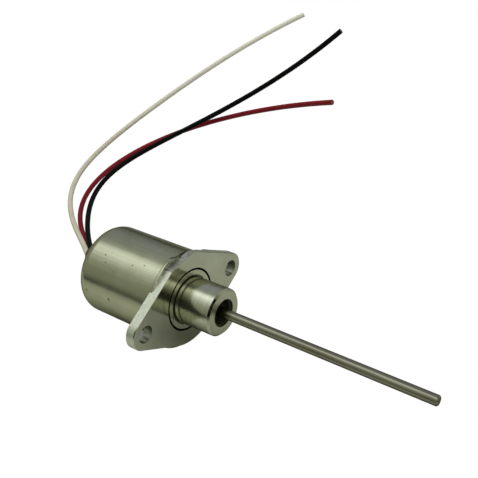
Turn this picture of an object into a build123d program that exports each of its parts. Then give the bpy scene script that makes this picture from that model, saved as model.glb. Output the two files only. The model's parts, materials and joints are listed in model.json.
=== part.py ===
"""Pull-in fuel shut-off solenoid: flange-mounted can, tubular nose, long plain rod, three leads.

Millimetres. The origin is the centre of the flange's front (mounting) face on the rod's axis.
+X runs out along the rod, the two flange ears lie on +Y and -Y, and +Z is up.
One STEP file per sub-part goes into parts/.
"""
from build123d import *
import math
import os

os.makedirs("parts", exist_ok=True)

# ---- mounting flange: the hull of three circles, with one long side sheared flat ----
flange_thickness = 4.2
bolt_spacing = 54.0
bolt_hole_radius = 3.65
ear_radius = 6.8
hub_radius = 20.4
flange_edge_chamfer = 0.3
shear_height = 19.55
shear_tilt = 7.4
pilot_hole_radius = 13.5

# ---- drawn can, with an outward rim let into the back of the flange ----
can_radius = 19.45
can_wall = 1.2
can_rear_x = -47.1
can_corner_radius = 5.1
rim_radius = 22.2
rim_thickness = 1.3
rim_fillet = 0.8
rim_edge_radius = 0.6
rim_shear_height = 19.8
rim_shear_tilt = -18.5
rim_recess_gap = 0.1

# ---- nose piece: seat ring, collar in the flange's hole, turned tube ----
nose_radius = 10.05
nose_front_x = 17.3
nose_chamfer = 0.9
nose_groove_rear_x = 5.4
nose_groove_width = 0.5
nose_groove_depth = 0.2
root_relief_radius = 10.75
root_relief_depth = 0.6
collar_radius = 12.8
collar_front_x = -0.1
seat_ring_radius = 16.0
seat_ring_front_x = -2.2
seat_ring_rear_x = -5.0
bore_radius = 5.45
mouth_radius = 5.85
mouth_depth = 1.3

# ---- moving plunger and rod ----
stroke = 12.0
plunger_radius = 6.54
snout_radius = 5.39
snout_front_x = 9.5
plunger_shoulder_x = -6.0
plunger_rear_x = -18.6
plunger_chamfer = 0.5
plunger_pocket_radius = 3.4
plunger_pocket_depth = 10.0
rod_radius = 2.03
rod_spigot_radius = 1.6
rod_tip_x = 107.6
rod_tip_chamfer = 0.5
rivet_length = 1.0
rod_clip_radius = 3.2
rod_clip_thickness = 0.8

# ---- fixed pole at the back of the coil ----
pole_disc_radius = 18.15
pole_disc_rear_x = -38.0
pole_disc_thickness = 2.8
pole_stem_radius = 6.55
pole_face_x = -31.0
pole_pocket_radius = 3.4
pole_pocket_depth = 4.6
shim_thickness = 0.3
bumper_thickness = 0.9
bumper_hole_radius = 5.6

# ---- guide tube and coil ----
guide_inner_radius = 6.6
guide_wall = 0.5
guide_rear_x = -35.2
guide_front_x = -3.6
bobbin_rear_x = -35.0
bobbin_front_x = -5.6
bobbin_tube_radius = 8.0
bobbin_flange_radius = 17.4
bobbin_flange_thickness = 1.2
pull_winding_radius = 12.0
hold_winding_radius = 15.6
tape_thickness = 0.25
wave_washer_radius = 15.0
fit_gap = 0.05

# ---- return spring between the fixed pole and the plunger ----
spring_wire_radius = 0.4
spring_coil_radius = 2.75
spring_turns = 10
spring_end_gap = 0.1

# ---- rear chamber and lead outlet ----
washer_thickness = 0.6
potting_rear_gap = 0.05
outlet_y = -5.0
outlet_z = 7.3
outlet_hole_radius = 3.9
grommet_radius = 5.3
grommet_lip = 1.2
grommet_inner_flange = 1.1
boot_radius = 4.3
boot_length = 4.1
boot_fillet = 0.6

# ---- leads: insulated stranded wire, spliced to the coil's tails ----
lead_radius = 1.2
conductor_radius = 0.75
conductor_gap = 0.02
lead_pitch_radius = 1.68
lead_start_x = -43.2
crimp_radius = 1.35
crimp_rear_x = -43.0
crimp_front_x = -39.6
conductor_start_x = -41.6
tail_start_x = -41.2
tail_radius = 0.3
tail_hole_radius = 0.5
tail_circle = 12.0
tail_layer_x = -39.1
tail_bend_radius = 0.45
lead_handle = 5.4

# Each lead leaves the outlet at its own angle round the bundle, and its free length follows a smooth
# curve whose remaining control points are given here. tail_angle is where its coil tail enters the pole.
leads = {
    "white": {
        "outlet_angle": 150.0,
        "tail_angle": 165.0,
        "course": [
            (-53.6, 3.1, 8.7),
            (-88.3, -1.7, 19.4),
            (-113.5, 24.5, 25.4),
            (-106.4, 67.2, 11.2),
            (-105.9, 97.5, 40.4),
            (-38.5, 149.8, 75.3),
        ],
    },
    "red": {
        "outlet_angle": 270.0,
        "tail_angle": 225.0,
        "course": [
            (-62.6, 0.1, 5.5),
            (-48.6, 10.5, 6.4),
            (-113.0, 1.8, 4.6),
            (-129.4, 52.6, 8.5),
            (-92.2, 119.6, 23.5),
            (13.7, 89.5, 57.0),
        ],
    },
    "black": {
        "outlet_angle": 30.0,
        "tail_angle": 30.0,
        "course": [
            (-82.7, 20.6, 7.7),
            (-112.4, 45.3, 13.2),
            (-104.7, 63.1, 12.8),
            (-68.2, 85.7, 25.2),
            (-29.4, 107.0, 50.6),
            (2.0, 117.2, 80.0),
        ],
    },
}


def turned(*profile):
    """A body of revolution about the rod's axis from (x, radius) corners."""
    outline = Polyline(*profile, close=True)
    return revolve(make_face(outline), axis=Axis.X)


def ring(x_from, x_to, outer, inner=0.0):
    """A plain ring, or a disc when inner is zero, about the rod's axis."""
    return turned((x_from, inner), (x_to, inner), (x_to, outer), (x_from, outer))


def rod_along_x(x_from, x_to, radius, y=0.0, z=0.0):
    """A cylinder parallel to the rod's axis."""
    length = x_to - x_from
    return Pos(x_from, y, z) * extrude(Plane.YZ * Circle(radius), length)


def shear_cutter(height, tilt, x_from, x_to):
    """A block covering everything above a line at the given height, tilted about X."""
    size = 4 * rim_radius
    block = Box(x_to - x_from, size, size, align=(Align.MIN, Align.CENTER, Align.MIN))
    return Pos(x_from, 0, height) * Rot(tilt, 0, 0) * block


def circular_edges_at(solid, x, radius):
    """The circular edges of a solid at station x with the given radius."""
    edges = solid.edges().filter_by(GeomType.CIRCLE)
    return edges.filter_by(lambda e: abs(e.center().X - x) < 0.01 and abs(e.radius - radius) < 0.01)


def lead_position(name):
    """Where a lead crosses the outlet, as (y, z)."""
    angle = math.radians(leads[name]["outlet_angle"])
    y = outlet_y + lead_pitch_radius * math.cos(angle)
    z = outlet_z + lead_pitch_radius * math.sin(angle)
    return y, z


def tail_position(name):
    """Where a lead's coil tail passes the pole disc, as (y, z)."""
    angle = math.radians(leads[name]["tail_angle"])
    return tail_circle * math.cos(angle), tail_circle * math.sin(angle)


def lead_path(name, start_x):
    """A lead's centre line: straight through the grommet, then its free curve."""
    y, z = lead_position(name)
    bend_x = can_rear_x - boot_length
    straight = Line((start_x, y, z), (bend_x, y, z))
    free = Bezier((bend_x, y, z), (bend_x - lead_handle, y, z), *leads[name]["course"])
    return Wire([straight.edge(), free.edge()])


def wire_along(path, radius, inner=0.0):
    """Round wire, or tubular insulation, swept along a path that starts parallel to X."""
    section = Circle(radius)
    if inner:
        section = section - Circle(inner)
    start = Plane(origin=path @ 0, z_dir=path % 0)
    return sweep(start * section, path=path)


def mounting_flange():
    """Two-ear plate with bolt holes, a pilot hole and stepped recesses in its back."""
    ears = Pos(bolt_spacing / 2, 0) * Circle(ear_radius) + Pos(-bolt_spacing / 2, 0) * Circle(ear_radius)
    outline = make_hull((ears + Circle(hub_radius)).edges())
    plate = Pos(-flange_thickness, 0, 0) * extrude(Plane.YZ * outline, flange_thickness)
    plate -= shear_cutter(shear_height, shear_tilt, -flange_thickness, 0)
    faces = plate.faces().filter_by(Axis.X)
    plate = chamfer(faces.edges(), flange_edge_chamfer)
    for side in (-1, 1):
        y = side * bolt_spacing / 2
        plate -= rod_along_x(-flange_thickness, 0, bolt_hole_radius, y)
    plate -= ring(-flange_thickness, 0, pilot_hole_radius)
    plate -= ring(-flange_thickness, seat_ring_front_x, seat_ring_radius + fit_gap)
    rim_front_x = rim_thickness - flange_thickness
    plate -= ring(-flange_thickness, rim_front_x, rim_radius + rim_recess_gap)
    return plate


def housing_can():
    """Deep-drawn can with a rounded closed end, a trimmed outward rim and the lead outlet hole."""
    rim_front_x = rim_thickness - flange_thickness
    shell = ring(can_rear_x, rim_front_x, can_radius)
    shell = fillet(circular_edges_at(shell, can_rear_x, can_radius), can_corner_radius)
    shell += ring(-flange_thickness, rim_front_x, rim_radius)
    shell = fillet(circular_edges_at(shell, -flange_thickness, rim_radius), rim_edge_radius)
    shell = fillet(circular_edges_at(shell, -flange_thickness, can_radius), rim_fillet)
    trim_from_x = -flange_thickness - rim_fillet
    shell -= shear_cutter(rim_shear_height, rim_shear_tilt, trim_from_x, rim_front_x)
    side_slope = 90 - math.degrees(math.acos((hub_radius - ear_radius) / (bolt_spacing / 2)))
    side_height = hub_radius / math.cos(math.radians(side_slope))
    shell -= shear_cutter(side_height, -side_slope, trim_from_x, rim_front_x)
    inside = ring(can_rear_x + can_wall, rim_front_x, can_radius - can_wall)
    inside_corner = circular_edges_at(inside, can_rear_x + can_wall, can_radius - can_wall)
    shell -= fillet(inside_corner, can_corner_radius - can_wall)
    shell -= rod_along_x(can_rear_x, can_rear_x + can_wall, outlet_hole_radius, outlet_y, outlet_z)
    return shell


def nose_piece():
    """Front pole turned in one piece: seat ring, collar, relieved root and bored nose."""
    relief_floor_x = collar_front_x - root_relief_depth
    nose = turned(
        (seat_ring_rear_x, bore_radius),
        (nose_front_x, bore_radius),
        (nose_front_x, nose_radius),
        (relief_floor_x, nose_radius),
        (relief_floor_x, root_relief_radius),
        (collar_front_x, root_relief_radius),
        (collar_front_x, collar_radius),
        (seat_ring_front_x, collar_radius),
        (seat_ring_front_x, seat_ring_radius),
        (seat_ring_rear_x, seat_ring_radius),
    )
    nose = chamfer(circular_edges_at(nose, nose_front_x, nose_radius), nose_chamfer)
    groove_front_x = nose_groove_rear_x + nose_groove_width
    nose -= ring(nose_groove_rear_x, groove_front_x, nose_radius, nose_radius - nose_groove_depth)
    nose -= ring(nose_front_x - mouth_depth, nose_front_x, mouth_radius)
    nose -= ring(seat_ring_rear_x, guide_front_x, guide_inner_radius + guide_wall)
    return nose


def guide_tube():
    """Thin non-magnetic sleeve the plunger slides in."""
    return ring(guide_rear_x, guide_front_x, guide_inner_radius + guide_wall, guide_inner_radius)


def front_bumper():
    """Rubber washer behind the nose piece that the plunger's shoulder rests on."""
    rear_x = seat_ring_rear_x - bumper_thickness
    return ring(rear_x, seat_ring_rear_x, plunger_radius, bumper_hole_radius)


def plunger():
    """Stepped plunger with a spring pocket behind and a hole for the rod's spigot."""
    body = ring(plunger_rear_x, plunger_shoulder_x, plunger_radius)
    body += ring(plunger_shoulder_x, snout_front_x, snout_radius)
    rims = circular_edges_at(body, plunger_rear_x, plunger_radius)
    rims += circular_edges_at(body, snout_front_x, snout_radius)
    body = chamfer(rims, plunger_chamfer)
    pocket_end_x = plunger_rear_x + plunger_pocket_depth
    body -= ring(plunger_rear_x, pocket_end_x, plunger_pocket_radius)
    body -= ring(pocket_end_x, snout_front_x, rod_spigot_radius)
    return body


def plunger_rod():
    """Long plain rod, shouldered on the plunger's front face and riveted behind the clip."""
    pocket_end_x = plunger_rear_x + plunger_pocket_depth
    rivet_x = pocket_end_x - rod_clip_thickness - rivet_length
    rod = ring(snout_front_x, rod_tip_x, rod_radius)
    rod = chamfer(circular_edges_at(rod, rod_tip_x, rod_radius), rod_tip_chamfer)
    return rod + ring(rivet_x, snout_front_x, rod_spigot_radius)


def rod_clip():
    """Flat retaining ring on the rod's spigot, also the spring's moving seat."""
    pocket_end_x = plunger_rear_x + plunger_pocket_depth
    return ring(pocket_end_x - rod_clip_thickness, pocket_end_x, rod_clip_radius, rod_spigot_radius)


def return_spring():
    """Compression spring from the fixed pole's pocket to the clip on the rod."""
    inset = spring_wire_radius + spring_end_gap
    start_x = pole_face_x - pole_pocket_depth + inset
    end_x = plunger_rear_x + plunger_pocket_depth - rod_clip_thickness - inset
    length = end_x - start_x
    helix = Helix(length / spring_turns, length, spring_coil_radius, (start_x, 0, 0), (1, 0, 0))
    start = Plane(origin=helix @ 0, z_dir=helix % 0)
    return sweep(start * Circle(spring_wire_radius), path=helix, is_frenet=True)


def end_pole():
    """Disc with a hollow stem that the plunger is pulled against."""
    disc_front_x = pole_disc_rear_x + pole_disc_thickness
    pole = ring(pole_disc_rear_x, disc_front_x, pole_disc_radius)
    pole += ring(disc_front_x, pole_face_x, pole_stem_radius)
    pole -= ring(pole_face_x - pole_pocket_depth, pole_face_x, pole_pocket_radius)
    for name in leads:
        y, z = tail_position(name)
        pole -= rod_along_x(pole_disc_rear_x, disc_front_x, tail_hole_radius, y, z)
    return pole


def anti_stick_shim():
    """Thin brass ring on the pole's face that keeps the plunger from sticking."""
    return ring(pole_face_x, pole_face_x + shim_thickness, pole_stem_radius, pole_pocket_radius)


def coil_bobbin():
    """Moulded spool for both windings."""
    bore = guide_inner_radius + guide_wall + fit_gap
    spool = ring(bobbin_rear_x, bobbin_front_x, bobbin_tube_radius, bore)
    for x in (bobbin_rear_x, bobbin_front_x - bobbin_flange_thickness):
        spool += ring(x, x + bobbin_flange_thickness, bobbin_flange_radius, bore)
    for name in leads:
        y, z = tail_position(name)
        rear_flange_x = bobbin_rear_x + bobbin_flange_thickness
        spool -= rod_along_x(bobbin_rear_x, rear_flange_x, tail_hole_radius, y, z)
    return spool


def winding_layer(inner, outer):
    """A ring of wire or tape that fills the spool between its flanges."""
    rear_x = bobbin_rear_x + bobbin_flange_thickness
    front_x = bobbin_front_x - bobbin_flange_thickness
    return ring(rear_x, front_x, outer, inner)


def wave_washer():
    """Spring washer that holds the coil back against the pole."""
    bore = guide_inner_radius + guide_wall + fit_gap
    return ring(bobbin_front_x, seat_ring_rear_x, wave_washer_radius, bore)


def insulating_washer():
    """Fibre washer behind the pole, with holes for the coil's tails."""
    washer = ring(pole_disc_rear_x - washer_thickness, pole_disc_rear_x, pole_disc_radius)
    for name in leads:
        y, z = tail_position(name)
        washer -= rod_along_x(pole_disc_rear_x - washer_thickness, pole_disc_rear_x, tail_hole_radius, y, z)
    return washer


def outlet_grommet():
    """Rubber grommet in the can's end wall, with a short boot outside and one hole per lead."""
    inner_x = can_rear_x + can_wall
    outer_x = can_rear_x - boot_length
    body = rod_along_x(outer_x, can_rear_x, boot_radius, outlet_y, outlet_z)
    outer_edges = body.faces().sort_by(Axis.X)[0].edges()
    body = fillet(outer_edges, boot_fillet)
    body += rod_along_x(can_rear_x - grommet_lip, can_rear_x, grommet_radius, outlet_y, outlet_z)
    body += rod_along_x(can_rear_x, inner_x, outlet_hole_radius, outlet_y, outlet_z)
    body += rod_along_x(inner_x, inner_x + grommet_inner_flange, grommet_radius, outlet_y, outlet_z)
    for name in leads:
        y, z = lead_position(name)
        body -= rod_along_x(outer_x, inner_x + grommet_inner_flange, lead_radius, y, z)
    return body


def lead_insulation(name):
    """Insulating sleeve of one lead."""
    return wire_along(lead_path(name, lead_start_x), lead_radius, conductor_radius + conductor_gap)


def lead_conductor(name):
    """Stranded core of one lead, from inside its crimp to the cut end."""
    return wire_along(lead_path(name, conductor_start_x), conductor_radius)


def crimp(name):
    """Splice tube joining one lead's core to its coil tail."""
    y, z = lead_position(name)
    tube = rod_along_x(crimp_rear_x, crimp_front_x, crimp_radius, y, z)
    socket = rod_along_x(crimp_rear_x, crimp_front_x, conductor_radius + conductor_gap, y, z)
    insulation_end = rod_along_x(crimp_rear_x, lead_start_x, lead_radius, y, z)
    return tube - socket - insulation_end


def coil_tail(name):
    """Winding wire from the spool, through the pole, into its crimp."""
    y, z = lead_position(name)
    tail_y, tail_z = tail_position(name)
    spool_x = bobbin_rear_x + bobbin_flange_thickness
    corners = [
        (tail_start_x, y, z),
        (tail_layer_x, y, z),
        (tail_layer_x, tail_y, tail_z),
        (spool_x, tail_y, tail_z),
    ]
    return wire_along(FilletPolyline(*corners, radius=tail_bend_radius).wire(), tail_radius)


def rear_potting(embedded):
    """Resin that fills the rear chamber round the splices and the grommet."""
    rear_x = can_rear_x + can_wall + potting_rear_gap
    radius = can_radius - can_wall - potting_rear_gap
    fill = ring(rear_x, pole_disc_rear_x - washer_thickness, radius)
    fill = fillet(circular_edges_at(fill, rear_x, radius), can_corner_radius - can_wall)
    for piece in embedded:
        fill -= piece
    return fill


def build():
    """Every sub-part of the solenoid by node name."""
    tape_outer = pull_winding_radius + tape_thickness
    parts = {
        "mounting_flange": mounting_flange(),
        "housing_can": housing_can(),
        "nose_piece": nose_piece(),
        "guide_tube": guide_tube(),
        "front_bumper": front_bumper(),
        "plunger": plunger(),
        "plunger_rod": plunger_rod(),
        "rod_clip": rod_clip(),
        "return_spring": return_spring(),
        "end_pole": end_pole(),
        "anti_stick_shim": anti_stick_shim(),
        "coil_bobbin": coil_bobbin(),
        "pull_winding": winding_layer(bobbin_tube_radius, pull_winding_radius),
        "layer_tape": winding_layer(pull_winding_radius, tape_outer),
        "hold_winding": winding_layer(tape_outer, hold_winding_radius),
        "outer_tape": winding_layer(hold_winding_radius, hold_winding_radius + tape_thickness),
        "wave_washer": wave_washer(),
        "insulating_washer": insulating_washer(),
        "outlet_grommet": outlet_grommet(),
    }
    crimps = [crimp(name) for name in leads]
    tails = [coil_tail(name) for name in leads]
    embedded = crimps + tails
    for name in leads:
        parts["lead_" + name] = lead_insulation(name)
        parts["conductor_" + name] = lead_conductor(name)
        y, z = lead_position(name)
        embedded.append(rod_along_x(can_rear_x, crimp_front_x, lead_radius, y, z))
    inner_x = can_rear_x + can_wall
    embedded.append(rod_along_x(inner_x, inner_x + grommet_inner_flange, grommet_radius, outlet_y, outlet_z))
    parts["splice_crimps"] = Compound(children=crimps)
    parts["coil_tails"] = Compound(children=tails)
    parts["rear_potting"] = rear_potting(embedded)
    return parts


for node, shape in build().items():
    export_step(shape, "parts/" + node + ".step")
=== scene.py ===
"""Looks for the flange-mounted pull solenoid: plated steel, ground rod, leads, staged light."""
import bpy
import json
import math
from mathutils import Matrix, Vector


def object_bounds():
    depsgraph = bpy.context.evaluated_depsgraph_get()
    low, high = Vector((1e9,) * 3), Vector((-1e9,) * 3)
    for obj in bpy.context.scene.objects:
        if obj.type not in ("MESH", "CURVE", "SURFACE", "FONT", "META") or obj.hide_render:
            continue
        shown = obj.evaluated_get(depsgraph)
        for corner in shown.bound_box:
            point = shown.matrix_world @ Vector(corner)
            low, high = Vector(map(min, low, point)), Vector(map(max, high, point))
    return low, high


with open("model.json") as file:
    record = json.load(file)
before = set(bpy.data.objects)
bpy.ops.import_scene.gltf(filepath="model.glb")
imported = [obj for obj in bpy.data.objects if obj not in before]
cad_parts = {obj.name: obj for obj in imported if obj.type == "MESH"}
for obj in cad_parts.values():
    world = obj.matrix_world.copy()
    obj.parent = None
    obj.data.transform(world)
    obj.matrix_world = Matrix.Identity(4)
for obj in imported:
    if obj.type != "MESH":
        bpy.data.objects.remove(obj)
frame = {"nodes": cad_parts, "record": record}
cad_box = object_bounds()
nodes = frame["nodes"]
scene = bpy.context.scene
MM = 0.001

# colours
edge_tint = (0.40, 0.40, 0.36)
# near-black for painted shade in the gaps round the collar, the root relief and the bore, and for the
# painted dark reflection on the nose chamfer
painted_shade_black = (0.004, 0.004, 0.003)

# places on the part
bolt_y = 27.0 * MM
bolt_hole_reach = 3.70 * MM
pilot_hole_reach = 13.60 * MM
can_radius = 19.45 * MM
can_face_reach = 19.6 * MM
collar_gap = (12.70 * MM, 16.5 * MM)
root_relief = (10.04 * MM, 10.77 * MM)
relief_x = -0.13 * MM
bore_reach = 5.95 * MM
nose_chamfer_x = 16.42 * MM
nose_chamfer_reach = 9.2 * MM
back_of_ear_x = -2.0 * MM

# where the camera stands, and how it is turned
eye = Vector((0.168903, -0.177484, 0.175930))
camera_turn = {"azimuth": 38.544, "elevation": 31.338, "roll": -3.880}
camera_lens = 55.150


# ---------------------------------------------------------------- node helpers
def rgba(value):
    """A colour with alpha, from a colour or from one number for a grey."""
    return (*value, 1.0) if isinstance(value, tuple) else (value, value, value, 1.0)


class Shader:
    """A small wrapper that makes node trees short to write."""

    def __init__(self, owner):
        owner.use_nodes = True
        self.mat = owner
        self.tree = owner.node_tree
        self.bsdf = self.tree.nodes.get("Principled BSDF")
        self.coord = self.tree.nodes.new("ShaderNodeTexCoord").outputs["Object"]

    def plug(self, socket, value):
        if isinstance(value, bpy.types.NodeSocket):
            self.tree.links.new(value, socket)
        elif socket.type == "RGBA":
            socket.default_value = rgba(value)
        else:
            socket.default_value = value

    def node(self, kind, inputs=None, **settings):
        n = self.tree.nodes.new(kind)
        for key, value in settings.items():
            setattr(n, key, value)
        for key, value in (inputs or {}).items():
            self.plug(n.inputs[key], value)
        return n

    def math(self, operation, a, b=0.0):
        return self.node("ShaderNodeMath", {0: a, 1: b}, operation=operation).outputs[0]

    def vector_math(self, operation, a, b=None):
        inputs = {0: a} if b is None else {0: a, 1: b}
        return self.node("ShaderNodeVectorMath", inputs, operation=operation)

    def add(self, a, b):
        return self.math("ADD", a, b)

    def sub(self, a, b):
        return self.math("SUBTRACT", a, b)

    def mul(self, a, b):
        return self.math("MULTIPLY", a, b)

    def div(self, a, b):
        return self.math("DIVIDE", a, b)

    def top(self, a, b):
        """The larger of the two."""
        return self.math("MAXIMUM", a, b)

    def above(self, a, b):
        """1 where a is larger than b, 0 elsewhere."""
        return self.math("GREATER_THAN", a, b)

    def below(self, a, b):
        """1 where a is smaller than b, 0 elsewhere."""
        return self.math("LESS_THAN", a, b)

    def scaled(self, scale):
        """The object's coordinates stretched by a scale per axis."""
        return self.vector_math("MULTIPLY", self.coord, scale).outputs[0]

    def noise(self, scale, detail=3.0, rough=0.55, coord=None, distortion=0.0):
        inputs = {"Vector": coord or self.coord, "Scale": scale, "Detail": detail,
                  "Roughness": rough, "Distortion": distortion}
        return self.node("ShaderNodeTexNoise", inputs).outputs["Fac"]

    def ramp(self, fac, *stops):
        """Colour ramp; each stop is (position, value or colour)."""
        n = self.node("ShaderNodeValToRGB", {"Fac": fac})
        elements = n.color_ramp.elements
        while len(elements) < len(stops):
            elements.new(1.0)
        for element, (place, value) in zip(elements, stops):
            element.position = place
            element.color = rgba(value)
        return n.outputs["Color"]

    def rise(self, fac, low, high):
        """0 up to low, 1 from high on."""
        return self.ramp(fac, (low, 0.0), (high, 1.0))

    def fall(self, fac, low, high):
        """1 up to low, 0 from high on."""
        return self.ramp(fac, (low, 1.0), (high, 0.0))

    def mix(self, fac, a, b):
        n = self.node("ShaderNodeMix", data_type="RGBA")
        self.plug(n.inputs["Factor"], fac)
        self.plug(n.inputs[6], a)
        self.plug(n.inputs[7], b)
        return n.outputs[2]

    def split(self, vector):
        """The X, Y and Z outputs of a vector."""
        return self.node("ShaderNodeSeparateXYZ", {0: vector}).outputs

    def joined(self, x, y=0.0):
        """A vector made from two numbers."""
        return self.node("ShaderNodeCombineXYZ", {0: x, 1: y}).outputs[0]

    def length(self, a, b):
        """Length of a vector with two parts."""
        return self.math("SQRT", self.add(self.mul(a, a), self.mul(b, b)))

    def facing(self):
        """The X, Y and Z parts of the surface's direction."""
        return self.split(self.node("ShaderNodeNewGeometry").outputs["Normal"])

    def polar(self, y=0.0):
        """Distance from an axis along X, angle round it in turns, and the place along it."""
        place = self.split(self.coord)
        dy = self.sub(place["Y"], y)
        angle = self.div(self.math("ARCTAN2", place["Z"], dy), 2 * math.pi)
        return self.length(dy, place["Z"]), angle, place["X"]

    def bump(self, height, strength, distance, normal=None):
        inputs = {"Height": height, "Strength": strength, "Distance": distance}
        if normal is not None:
            inputs["Normal"] = normal
        return self.node("ShaderNodeBump", inputs).outputs["Normal"]

    def set(self, **values):
        for key, value in values.items():
            self.plug(self.bsdf.inputs[key.replace("_", " ")], value)
        return self


# ---------------------------------------------------------------- materials
def material(name):
    return Shader(bpy.data.materials.new(name))


def speckle(s, scale, size, share=0.28):
    """Sparse dots, 1 inside a dot and 0 outside; share is the part of the cells that holds one."""
    cells = s.node("ShaderNodeTexVoronoi", {"Vector": s.coord, "Scale": scale}, feature="F1")
    draw = s.node("ShaderNodeSeparateColor", {0: cells.outputs["Color"]}).outputs[0]
    chosen = s.above(draw, 1.0 - share)
    near = s.fall(cells.outputs["Distance"], size * 0.5, size)
    return s.mul(chosen, near)


def dents(s, reach, *places):
    """Small knocks on a cylinder of radius reach, each (x in mm, degrees round it, size in mm)."""
    _, turn, x = s.polar()
    marks = 0.0
    for station, degrees, size in places:
        dx = s.div(s.sub(x, station * MM), size * MM)
        arc = s.sub(turn, degrees / 360)
        da = s.mul(arc, 2 * math.pi * reach / (size * MM))
        marks = s.top(marks, s.fall(s.length(dx, da), 0.35, 1.0))
    return marks


def between(s, radius, inner, outer):
    """1 between two radii."""
    return s.mul(s.above(radius, inner), s.below(radius, outer))


def steel(s, tone, rough, normal):
    """Sets the surface to steel, with its reflections tinted at grazing angles."""
    return s.set(Base_Color=tone, Metallic=1.0, Roughness=rough, Normal=normal, Specular_Tint=edge_tint)


def torn_steel(s):
    """Roughly sheared metal: (colour, height)."""
    tears = s.noise(420, 4, 0.75, s.scaled((0.5, 1, 1)), 0.6)
    tone = s.ramp(tears, (0.35, (0.24, 0.24, 0.20)), (0.60, (0.76, 0.77, 0.69)))
    return tone, s.mul(tears, 14.0)


can_dents = ((-34.8, 124, 0.6), (-32.8, 133, 0.5), (-19.4, 124, 0.5), (-14.1, 119, 0.5),
             (-27.6, 176, 1.0), (-40.7, 176, 0.8), (-27.0, 140, 0.4))


def can_plating():
    s = material("can_plating")
    forward = s.above(s.facing()["X"], 0.5)
    rim_face = s.mul(forward, s.above(s.polar()[0], can_face_reach))
    torn, torn_height = torn_steel(s)
    lengthwise = s.noise(900, 2, 0.6, s.scaled((0.03, 1, 1)))
    cloudy = s.noise(70, 4, 0.6)
    fine = s.noise(1600, 2, 0.5)
    knocks = dents(s, can_radius, *can_dents)
    dots = s.top(s.mul(speckle(s, 190, 0.13), 0.6), knocks)
    tone = s.mix(s.rise(cloudy, 0.35, 0.7), (0.50, 0.51, 0.355), (0.60, 0.615, 0.45))
    tone = s.mix(s.mul(s.rise(lengthwise, 0.4, 0.65), 0.35), tone, (0.44, 0.44, 0.30))
    tone = s.mix(s.mul(dots, 0.80), tone, (0.16, 0.15, 0.10))
    rough = s.add(0.14, s.mul(cloudy, 0.10))
    rough = s.add(rough, s.mul(lengthwise, 0.06))
    height = s.add(s.mul(lengthwise, 0.5), s.mul(fine, 0.25))
    height = s.sub(height, s.mul(dots, 2.0))
    tone = s.mix(rim_face, tone, torn)
    rough = s.mix(rim_face, rough, 0.46)
    height = s.add(height, s.mul(rim_face, torn_height))
    wavy = s.bump(s.noise(55, 2, 0.4), 0.12, 0.0012)
    return steel(s, tone, rough, s.bump(height, 0.10, 0.00006, wavy))


def flange_plating():
    s = material("flange_plating")
    normal = s.facing()
    side = s.fall(s.math("ABSOLUTE", normal["X"]), 0.30, 0.85)
    sheared = s.mul(side, s.rise(normal["Z"], 0.965, 0.985))
    cloudy = s.noise(90, 4, 0.6)
    grain = s.noise(1500, 3, 0.6)
    pits = s.noise(1100, 3, 0.7)
    torn, torn_height = torn_steel(s)
    # partly painted shade: the bolt-hole walls are painted dark, for the shade inside the holes, in
    # streaks along the hole like shear marks
    shaded_hole_wall = s.below(s.polar(bolt_y)[0], bolt_hole_reach)
    shaded_hole_wall = s.top(shaded_hole_wall, s.below(s.polar(-bolt_y)[0], bolt_hole_reach))
    face = s.mix(s.rise(cloudy, 0.3, 0.75), (0.50, 0.515, 0.405), (0.60, 0.615, 0.49))
    edge = s.mix(s.rise(pits, 0.42, 0.6), (0.70, 0.73, 0.58), (0.86, 0.89, 0.74))
    streaks = s.rise(s.noise(320, 2, 0.5, s.scaled((0.3, 1, 1))), 0.42, 0.62)
    edge = s.mix(shaded_hole_wall, edge, s.mix(streaks, (0.13, 0.14, 0.10), (0.46, 0.48, 0.38)))
    tone = s.mix(side, face, edge)
    tone = s.mix(sheared, tone, torn)
    # painted shade: the pilot-hole wall, in the gap round the collar, is painted near-black and made
    # rough
    shaded_gap = s.below(s.polar()[0], pilot_hole_reach)
    tone = s.mix(shaded_gap, tone, painted_shade_black)
    rough = s.add(0.09, s.mul(cloudy, 0.10))
    rough = s.mix(side, rough, 0.46)
    rough = s.mix(shaded_gap, rough, 0.8)
    height = s.mul(grain, 0.35)
    height = s.add(height, s.mul(side, s.mul(pits, 3.0)))
    height = s.add(height, s.mul(sheared, torn_height))
    wavy = s.bump(s.noise(45, 2, 0.4), 0.10, 0.0010)
    return steel(s, tone, rough, s.bump(height, 0.14, 0.00006, wavy))


def turned_steel(name, light, dark, rough_low, rough_high, darkening=None):
    """Lathe-turned metal: rings round the cylinder, circles on the faces, and near-black painted shade
    and dark reflection where the darkening mask says.
    """
    s = material(name)
    radius, angle, x = s.polar()
    on_face = s.rise(s.math("ABSOLUTE", s.facing()["X"]), 0.6, 0.9)
    cut = s.node("ShaderNodeMix", {0: on_face, 2: x, 3: radius}, data_type="FLOAT").outputs[0]
    pitch = 0.16 * MM
    rings = s.noise(1.0, 2, 0.6, s.joined(s.div(cut, pitch), s.mul(angle, 2.5)))
    bands = s.noise(1.0, 2, 0.5, s.joined(s.div(cut, pitch * 7), s.mul(angle, 1.5)))
    cloudy = s.noise(140, 4, 0.6)
    tone = s.mix(s.rise(s.add(s.mul(bands, 0.6), s.mul(cloudy, 0.4)), 0.38, 0.62), dark, light)
    rough = s.add(rough_low, s.mul(cloudy, rough_high - rough_low))
    rough = s.add(rough, s.mul(on_face, 0.10))
    height = s.add(rings, s.mul(bands, 1.5))
    # painted shade: where the mask is set, the metal is painted near-black and made rougher
    if darkening:
        darkened = darkening(s, radius, angle, x)
        tone = s.mix(darkened, tone, painted_shade_black)
        rough = s.mix(darkened, rough, 0.7)
    return steel(s, tone, rough, s.bump(height, 0.10, 0.00003))


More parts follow.
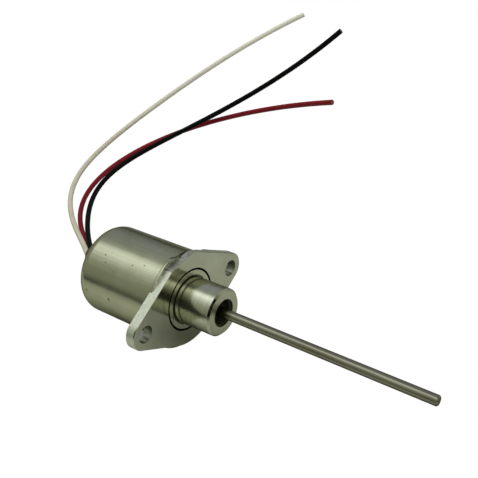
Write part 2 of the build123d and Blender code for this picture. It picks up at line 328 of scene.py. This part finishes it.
def nose_painted_shade_and_reflection(s, radius, angle, x):
    """Painted shade round the collar, in the root relief and in the bore, and a patchy painted dark
    reflection on one side of the chamfer.
    """
    set_back = s.below(x, relief_x)
    # painted shade in the root relief and in the gap round the collar
    relief = s.mul(s.mul(between(s, radius, *root_relief), set_back), 0.6)
    shaded_gap = s.top(between(s, radius, *collar_gap), relief)
    # painted shade inside the bore, at a bit over half strength
    bore = s.mul(s.below(radius, bore_reach), 0.55)
    # painted dark reflection on one side of the nose chamfer, of the shadowed floor beneath the nose
    chamfer = s.mul(s.above(x, nose_chamfer_x), s.above(radius, nose_chamfer_reach))
    round_the_side = s.ramp(s.add(angle, 0.5), (0.79, 0.0), (0.82, 1.0), (0.93, 1.0), (0.97, 0.2))
    patchy = s.ramp(s.noise(700, 3, 0.6), (0.30, 0.85), (0.55, 1.0))
    crescent = s.mul(s.mul(chamfer, round_the_side), patchy)
    return s.top(s.top(shaded_gap, bore), crescent)


def rod_steel():
    s = material("rod_steel")
    _, angle, x = s.polar()
    streaks = s.noise(1.0, 3, 0.6, s.joined(s.mul(x, 55), s.mul(angle, 60)))
    stains = s.noise(1.0, 4, 0.65, s.joined(s.mul(x, 40), s.mul(angle, 9)))
    rings = s.noise(1.0, 2, 0.5, s.joined(s.mul(x, 2600)))
    dots = speckle(s, 500, 0.16)
    tone = s.mix(s.rise(stains, 0.36, 0.66), (0.275, 0.265, 0.19), (0.375, 0.36, 0.28))
    tone = s.mix(s.mul(s.rise(streaks, 0.45, 0.62), 0.45), tone, (0.24, 0.215, 0.15))
    tone = s.mix(s.mul(dots, 0.6), tone, (0.10, 0.085, 0.05))
    upward = s.add(s.mul(s.facing()["Z"], 0.5), 0.5)
    # painted shade: the rod's underside is painted darker, for the shadowed floor it reflects
    shaded_underside = s.fall(upward, 0.30, 0.62)
    tone = s.mix(s.mul(shaded_underside, 0.75), tone, (0.11, 0.10, 0.065))
    rough = s.add(0.16, s.mul(stains, 0.16))
    height = s.add(streaks, s.mul(rings, 0.35))
    return steel(s, tone, rough, s.bump(height, 0.16, 0.00003))


def insulation(name, base, worn, darkened, rough, gloss, fuzz, end_tone=None):
    """Extruded insulation with handling marks, and a lighter colour towards the free end where one is
    given.
    """
    s = material(name)
    cloudy = s.noise(160, 4, 0.6)
    darkening = s.noise(420, 4, 0.7)
    fine = s.noise(2600, 3, 0.6)
    marks = speckle(s, 330, 0.12)
    tone = s.mix(s.rise(cloudy, 0.35, 0.72), base, worn)
    # lighter towards the free end, set only by place along Y
    if end_tone:
        along = s.mul(s.split(s.coord)["Y"], 6.0)
        tone = s.mix(s.rise(along, 0.30, 0.80), tone, end_tone)
    tone = s.mix(s.mul(s.rise(darkening, 0.55, 0.80), fuzz), tone, darkened)
    tone = s.mix(s.mul(marks, 0.4), tone, darkened)
    roughness = s.add(rough, s.mul(cloudy, 0.14))
    height = s.add(s.mul(fine, 0.4), cloudy)
    return s.set(Base_Color=tone, Roughness=roughness, Normal=s.bump(height, 0.12, 0.00006),
                 IOR=1.46, Specular_IOR_Level=gloss)


def wound_copper():
    s = material("enamelled_copper")
    inputs = {"Vector": s.scaled((1, 0, 0)), "Scale": 430, "Distortion": 0.15}
    turns = s.node("ShaderNodeTexWave", inputs, wave_type="BANDS", bands_direction="X").outputs["Fac"]
    cloudy = s.noise(260, 3, 0.6)
    tone = s.mix(cloudy, (0.42, 0.12, 0.035), (0.72, 0.30, 0.11))
    tone = s.mix(s.fall(turns, 0.05, 0.35), tone, (0.10, 0.03, 0.01))
    return s.set(Base_Color=tone, Metallic=0.85, Roughness=s.add(0.2, s.mul(cloudy, 0.15)),
                 Normal=s.bump(turns, 0.5, 0.0002))


def drawn_metal(name, light, dark, rough):
    s = material(name)
    lengthwise = s.noise(700, 3, 0.6, s.scaled((0.06, 1, 1)))
    cloudy = s.noise(200, 4, 0.6)
    tone = s.mix(s.rise(cloudy, 0.35, 0.7), dark, light)
    roughness = s.add(rough, s.mul(lengthwise, 0.14))
    return s.set(Base_Color=tone, Metallic=1.0, Roughness=roughness,
                 Normal=s.bump(lengthwise, 0.15, 0.00005))


def moulded(name, light, dark, rough, scale=900, strength=0.2):
    s = material(name)
    grain = s.noise(scale, 4, 0.65)
    cloudy = s.noise(120, 3, 0.55)
    tone = s.mix(s.rise(cloudy, 0.35, 0.7), dark, light)
    tone = s.mix(s.mul(s.rise(grain, 0.5, 0.8), 0.35), tone, dark)
    roughness = s.add(rough, s.mul(grain, 0.2))
    return s.set(Base_Color=tone, Roughness=roughness, Normal=s.bump(grain, strength, 0.00012))


def wrapped_tape():
    s = material("tape")
    _, angle, x = s.polar()
    lap = s.joined(s.add(s.mul(x, 95), angle))
    inputs = {"Vector": lap, "Scale": 1.0}
    edges = s.node("ShaderNodeTexWave", inputs, wave_profile="SAW").outputs["Fac"]
    cloudy = s.noise(300, 3, 0.6)
    tone = s.mix(cloudy, (0.62, 0.42, 0.05), (0.85, 0.66, 0.16))
    tone = s.mix(s.fall(edges, 0.04, 0.1), tone, (0.35, 0.22, 0.03))
    return s.set(Base_Color=tone, Roughness=s.add(0.28, s.mul(cloudy, 0.2)),
                 Normal=s.bump(edges, 0.3, 0.0001))


def bare_strands():
    s = material("strand_copper")
    cells = s.node("ShaderNodeTexVoronoi", {"Vector": s.coord, "Scale": 4200}, feature="F1")
    from_middle = cells.outputs["Distance"]
    tone = s.mix(s.rise(from_middle, 0.2, 0.6), (0.80, 0.42, 0.22), (0.16, 0.06, 0.03))
    return s.set(Base_Color=tone, Metallic=1.0, Roughness=s.add(0.28, s.mul(s.noise(900), 0.2)),
                 Normal=s.bump(from_middle, 0.5, 0.00008))


materials = {
    "can_plating": can_plating(),
    "flange_plating": flange_plating(),
    "nose_steel": turned_steel(
        "nose_steel", light=(0.64, 0.65, 0.51), dark=(0.54, 0.55, 0.41), rough_low=0.15, rough_high=0.21,
        darkening=nose_painted_shade_and_reflection),
    "plunger_steel": turned_steel(
        "plunger_steel", light=(0.56, 0.56, 0.50), dark=(0.42, 0.42, 0.36), rough_low=0.22,
        rough_high=0.34),
    "pole_steel": turned_steel(
        "pole_steel", light=(0.52, 0.52, 0.50), dark=(0.40, 0.40, 0.38), rough_low=0.25, rough_high=0.35),
    "rod_steel": rod_steel(),
    "spring_steel": drawn_metal(
        "spring_steel", light=(0.50, 0.50, 0.48), dark=(0.32, 0.32, 0.30), rough=0.25),
    "brass": drawn_metal("brass", light=(0.80, 0.58, 0.26), dark=(0.60, 0.42, 0.18), rough=0.22),
    "crimp_tin": drawn_metal(
        "crimp_tin", light=(0.72, 0.72, 0.70), dark=(0.55, 0.55, 0.53), rough=0.30),
    "rubber": moulded(
        "rubber", light=(0.030, 0.029, 0.028), dark=(0.012, 0.012, 0.012), rough=0.55),
    "bobbin_nylon": moulded(
        "bobbin_nylon", light=(0.78, 0.74, 0.62), dark=(0.66, 0.62, 0.50), rough=0.40, scale=600,
        strength=0.1),
    "fibre": moulded(
        "fibre", light=(0.46, 0.29, 0.17), dark=(0.30, 0.18, 0.10), rough=0.65, scale=1400,
        strength=0.35),
    "potting": moulded(
        "potting", light=(0.035, 0.035, 0.040), dark=(0.018, 0.018, 0.020), rough=0.22, scale=500,
        strength=0.1),
    "enamelled_copper": wound_copper(),
    "tape": wrapped_tape(),
    "strand_copper": bare_strands(),
    "insulation_white": insulation(
        "insulation_white", base=(0.70, 0.655, 0.52), worn=(0.62, 0.575, 0.44),
        darkened=(0.42, 0.37, 0.27), rough=0.36, gloss=0.5, fuzz=0.15, end_tone=(0.93, 0.90, 0.77)),
    "insulation_red": insulation(
        "insulation_red", base=(0.26, 0.004, 0.014), worn=(0.20, 0.003, 0.011),
        darkened=(0.10, 0.003, 0.006), rough=0.40, gloss=0.25, fuzz=0.2),
    "insulation_black": insulation(
        "insulation_black", base=(0.004, 0.005, 0.004), worn=(0.007, 0.008, 0.007),
        darkened=(0.013, 0.015, 0.012), rough=0.34, gloss=0.05, fuzz=0.2),
}

for part in frame["record"]["subparts"]:
    slots = nodes[part["node"]].data.materials
    slots.clear()
    slots.append(materials[part["material_slot"]].mat)


# ---------------------------------------------------------------- floor, light, camera
def ear_shadow(s, spot, y):
    """Shadow on the paper right behind one ear, as the camera sees it through the bolt hole."""
    ray = s.split(s.vector_math("SUBTRACT", spot, eye).outputs[0])
    step = s.div(back_of_ear_x - eye.x, ray["X"])
    off_y = s.add(s.mul(ray["Y"], step), eye.y - y)
    off_z = s.add(s.mul(ray["Z"], step), eye.z)
    off_in_cm = s.mul(s.length(off_y, off_z), 100.0)
    return s.fall(off_in_cm, 0.46, 0.60)


def seen_from_eye(s, surface):
    """1 where the surface is looked at from the camera's own place, 0 from anywhere else."""
    back = s.vector_math("SUBTRACT", eye, surface.outputs["Position"]).outputs[0]
    back = s.vector_math("NORMALIZE", back).outputs[0]
    match = s.vector_math("DOT_PRODUCT", back, surface.outputs["Incoming"]).outputs["Value"]
    return s.above(match, 0.9999)


def staged_floor():
    """A sheet of paper: white for the camera, matt with the part's soft shadow in reflections."""
    low = cad_box[0].z - 0.0002
    bpy.ops.mesh.primitive_plane_add(size=0.8, location=(0.05, 0.05, low))
    floor = bpy.context.active_object
    floor.name = "floor"
    s = material("floor_paper")
    is_camera = s.node("ShaderNodeLightPath").outputs["Is Camera Ray"]
    surface = s.node("ShaderNodeNewGeometry")
    spot = surface.outputs["Position"]
    across = s.split(spot)["Y"]
    aside_in_dm = s.mul(s.math("ABSOLUTE", s.sub(across, 2 * MM)), 10.0)
    shadow = s.ramp(aside_in_dm, (0.10, 0.74), (0.42, 1.0))
    far_side = s.ramp(s.mul(across, -4.0), (0.35, 1.0), (0.70, 0.08))
    paper = s.mix(s.noise(14, 3, 0.5), (0.62, 0.63, 0.565), (0.66, 0.67, 0.60))
    paper = s.mix(s.mul(shadow, far_side), (0.0, 0.0, 0.0), paper)
    s.set(Base_Color=paper, Roughness=0.9, Specular_IOR_Level=0.0)
    shade = s.top(ear_shadow(s, spot, bolt_y), ear_shadow(s, spot, -bolt_y))
    shade = s.mul(shade, seen_from_eye(s, surface))
    glow = s.sub(1.03, s.mul(shade, 0.85))
    white = s.node("ShaderNodeEmission", {"Color": (1.0, 1.0, 1.0), "Strength": glow}).outputs[0]
    soft = s.node("ShaderNodeBsdfDiffuse", {"Color": (0.9, 0.9, 0.9)}).outputs[0]
    seen = s.node("ShaderNodeMixShader", {0: 0.03, 1: white, 2: soft}).outputs[0]
    both = s.node("ShaderNodeMixShader", {0: is_camera, 1: s.bsdf.outputs[0], 2: seen}).outputs[0]
    output = next(n for n in s.tree.nodes if n.type == "OUTPUT_MATERIAL")
    s.tree.links.new(both, output.inputs["Surface"])
    floor.data.materials.append(s.mat)


def softbox(name, toward, distance, size, radiance):
    """An area light in a given direction, facing the object and left out of its reflections."""
    data = bpy.data.lights.new(name, "AREA")
    data.shape = "RECTANGLE"
    data.size, data.size_y = size
    data.energy = radiance * math.pi * size[0] * size[1]
    light = bpy.data.objects.new(name, data)
    direction = Vector(toward).normalized()
    light.location = direction * distance
    light.rotation_mode = "QUATERNION"
    light.rotation_quaternion = direction.to_track_quat("Z", "Y")
    light.visible_camera = False
    light.visible_glossy = False
    scene.collection.objects.link(light)


# the room round the rod's axis: (degrees from +Y through +Z, brightness, blue gain)
room_by_angle = (
    (-180, 0.15, 1.0), (-173, 0.10, 1.0), (-165, 0.08, 1.0), (-90, 0.05, 1.0), (-15, 0.07, 1.2),
    (0, 0.13, 1.35), (10, 0.24, 1.4), (28, 0.31, 1.4), (46, 0.34, 1.35), (70, 0.33, 1.25),
    (80, 0.40, 1.12), (88, 0.90, 1.05), (96, 1.35, 1.05), (104, 1.28, 1.05), (112, 0.95, 1.05),
    (124, 0.66, 1.05), (136, 0.45, 1.05), (150, 0.33, 1.0), (172, 0.25, 1.0), (180, 0.20, 1.0),
)


def dim_room():
    """White for the camera; for all else a dim room with a long bright ceiling strip along X."""
    world = bpy.data.worlds.new("room")
    scene.world = world
    s = Shader(world)
    s.tree.nodes.clear()
    way = s.split(s.node("ShaderNodeTexCoord").outputs["Generated"])
    turn = s.add(s.div(s.math("ARCTAN2", way["Z"], way["Y"]), 2 * math.pi), 0.5)
    stops = [(angle / 360 + 0.5, (0.49 * grey, 0.51 * grey, 0.5 * grey * blue))
             for angle, grey, blue in room_by_angle]
    half_x = s.add(s.mul(way["X"], 0.5), 0.5)
    half_y = s.add(s.mul(way["Y"], 0.5), 0.5)
    ring = s.mix(s.fall(half_x, 0.115, 0.155), s.ramp(turn, *stops), 0.15)
    sideways = s.ramp(half_y, (0.52, 0.012), (0.75, 0.20))
    strip_end = s.sub(s.mul(ring, 1.1), 0.16)
    in_front = s.rise(half_x, 0.52, 0.70)
    strength = s.mix(in_front, ring, s.top(sideways, strip_end))
    tint = s.ramp(strength, (0.05, (1.0, 1.02, 0.80)), (0.5, (1.0, 1.0, 1.0)))
    tinted = s.node("ShaderNodeMix", {0: 1.0, 6: strength, 7: tint},
                    data_type="RGBA", blend_type="MULTIPLY").outputs[2]
    room = s.node("ShaderNodeBackground", {"Color": tinted, "Strength": 2.0}).outputs[0]
    white = s.node("ShaderNodeBackground", {"Color": (1.0, 1.0, 1.0), "Strength": 1.0}).outputs[0]
    camera_ray = s.node("ShaderNodeLightPath").outputs["Is Camera Ray"]
    both = s.node("ShaderNodeMixShader", {0: camera_ray, 1: room, 2: white}).outputs[0]
    s.node("ShaderNodeOutputWorld", {"Surface": both})


def studio_camera(azimuth, elevation, roll, place, lens):
    """A camera looking back along the given direction, turned by roll about its own axis."""
    a, e, r = (math.radians(v) for v in (azimuth, elevation, roll))
    back = Vector((math.sin(a) * math.cos(e), -math.cos(a) * math.cos(e), math.sin(e)))
    right = Vector((math.cos(a), math.sin(a), 0.0))
    up = back.cross(right)
    turned_right = math.cos(r) * right + math.sin(r) * up
    turned_up = math.cos(r) * up - math.sin(r) * right
    data = bpy.data.cameras.new("camera")
    data.sensor_width = 36.0
    data.lens = lens
    data.clip_start, data.clip_end = 0.01, 20.0
    camera = bpy.data.objects.new("camera", data)
    axes = Matrix((turned_right, turned_up, back)).transposed()
    camera.matrix_world = Matrix.Translation(place) @ axes.to_4x4()
    scene.collection.objects.link(camera)
    scene.camera = camera


staged_floor()
dim_room()
softbox("overhead_fill", toward=(0.0, 0.0, 1.0), distance=0.80, size=(0.6, 0.6), radiance=1.5)
softbox("side_fill", toward=(0.5, -0.7, 0.6), distance=0.80, size=(0.5, 0.5), radiance=0.6)
studio_camera(**camera_turn, place=eye, lens=camera_lens)
scene.view_settings.view_transform = "Standard"
scene.view_settings.look = "None"
